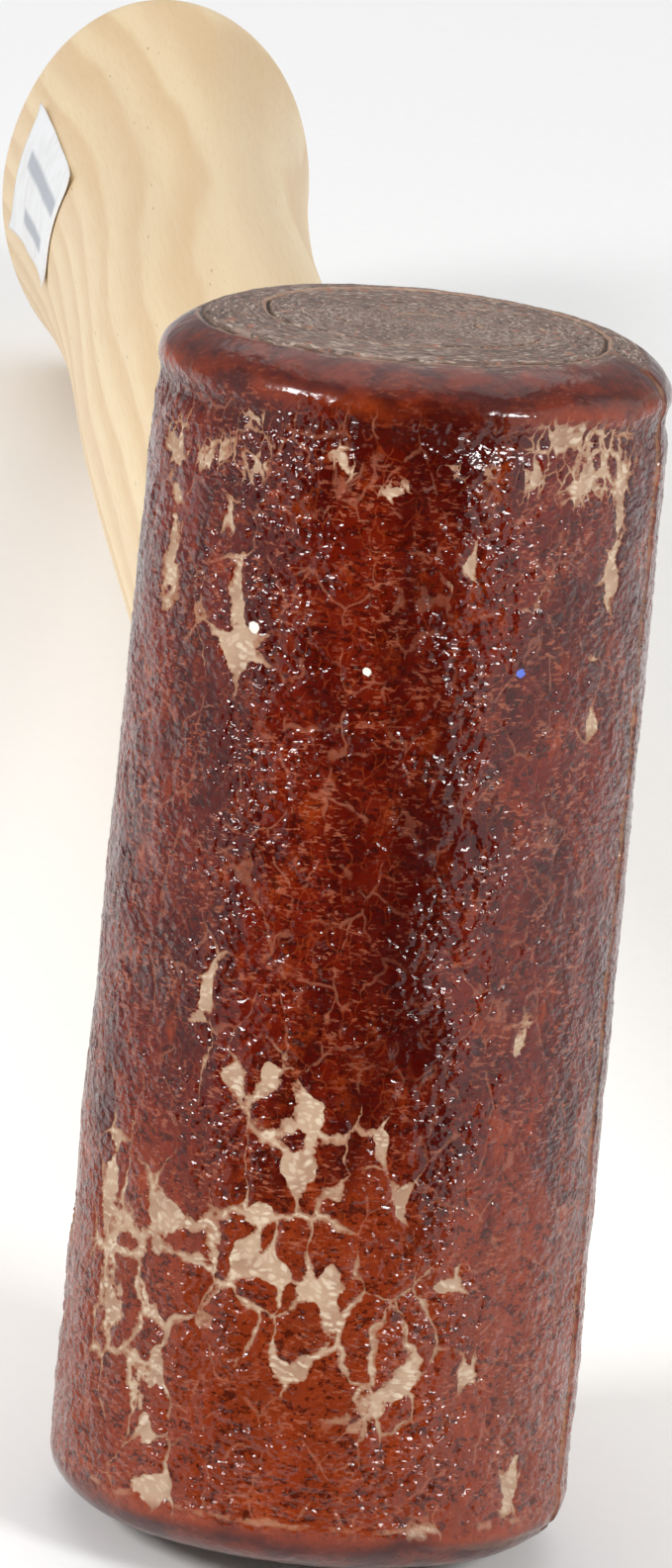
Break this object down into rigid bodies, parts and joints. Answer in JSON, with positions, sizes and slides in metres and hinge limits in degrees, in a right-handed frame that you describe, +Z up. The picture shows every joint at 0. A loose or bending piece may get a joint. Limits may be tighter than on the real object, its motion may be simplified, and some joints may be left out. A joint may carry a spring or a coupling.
{
  "type": "rawhide mallet",
  "caption": "Mallet with a cylindrical head of rolled, lacquered rawhide on an oval ash handle, for striking without marking.",
  "frame": {"origin": "middle of the object's box on the bench, with the mallet standing on the rim of one striking face and its butt", "axes": "+Z up from the bench, +Y along the handle from the head to the butt, +X across the head; the head's axis leans 5.06 degrees back from +Z towards +Y"},
  "size_m": [0.0406, 0.363, 0.0976],
  "materials": {
    "rawhide": "dark red-brown lacquer, crackled and chipped, bare hide on the end faces",
    "ash": "smooth, clear sealed",
    "wedge_wood": "sawn",
    "paper": "matte paper"
  },
  "bodies": {
    "root": {"rawhide_coil": "rawhide", "handle": "ash", "fox_wedge": "wedge_wood", "price_label": "paper"}
  },
  "joints": []
}
